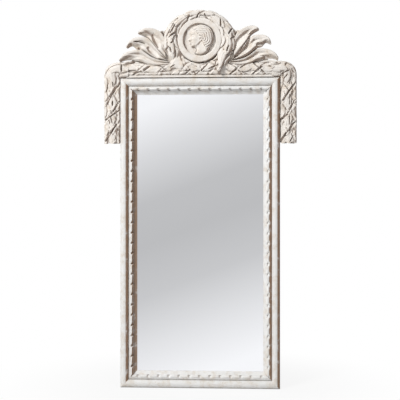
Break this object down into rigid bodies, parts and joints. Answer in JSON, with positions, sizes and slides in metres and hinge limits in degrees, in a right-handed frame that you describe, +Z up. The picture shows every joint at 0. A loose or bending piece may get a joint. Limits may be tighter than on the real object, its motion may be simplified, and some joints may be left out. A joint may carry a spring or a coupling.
{
  "type": "carved wall mirror",
  "caption": "Tall wall mirror in a moulded, old white painted wood frame with a carved crest: medallion, laurel wreath, garland, hanging drops and acanthus sprays.",
  "frame": {"origin": "middle of the lower back edge of the frame: on the wall plane, at the underside of the bottom rail", "axes": "+Z up along the mirror's height, +Y back into the wall so that the front faces -Y, +X to the right as seen from the front"},
  "size_m": [0.708, 0.0725, 1.395],
  "materials": {
    "old_paint": "worn white paint on wood",
    "carved_paint": "worn cream-white paint on carved wood, brown in the recesses",
    "bare_wood": "aged bare softwood",
    "mirror": "silvered plate glass",
    "steel": "dull zinc-plated steel",
    "iron": "dark iron"
  },
  "bodies": {
    "root": {"left_stile": "old_paint", "right_stile": "old_paint", "top_rail": "old_paint", "bottom_rail": "old_paint", "left_leaf_slip": "old_paint", "right_leaf_slip": "old_paint", "top_leaf_slip": "old_paint", "bottom_leaf_slip": "old_paint", "corner_keys": "bare_wood", "mirror_plate": "mirror", "packing_blocks": "bare_wood", "left_backboard": "bare_wood", "middle_backboard": "bare_wood", "right_backboard": "bare_wood", "backboard_nails": "iron", "crest_board": "carved_paint", "left_crest_batten": "bare_wood", "right_crest_batten": "bare_wood", "batten_screws": "steel", "medallion_ring": "carved_paint", "medallion_field": "carved_paint", "relief_head": "carved_paint", "left_top_garland": "carved_paint", "right_top_garland": "carved_paint", "left_wreath": "carved_paint", "right_wreath": "carved_paint", "left_garland_drop": "carved_paint", "right_garland_drop": "carved_paint", "drop_dowels": "bare_wood", "left_acanthus": "carved_paint", "right_acanthus": "carved_paint", "left_hanger_strap": "steel", "right_hanger_strap": "steel", "hanger_screws": "steel"},
    "left_ring": {"left_hanging_ring": "steel"},
    "right_ring": {"right_hanging_ring": "steel"}
  },
  "joints": [
    {"name": "left_ring_swing", "type": "hinge", "parent": "root", "child": "left_ring", "pos_m": [-0.2785, 0.00438, 0.9], "axis": [1, 0, 0], "range_deg": [0, 180]},
    {"name": "right_ring_swing", "type": "hinge", "parent": "root", "child": "right_ring", "pos_m": [0.2785, 0.00438, 0.9], "axis": [1, 0, 0], "range_deg": [0, 180]}
  ]
}
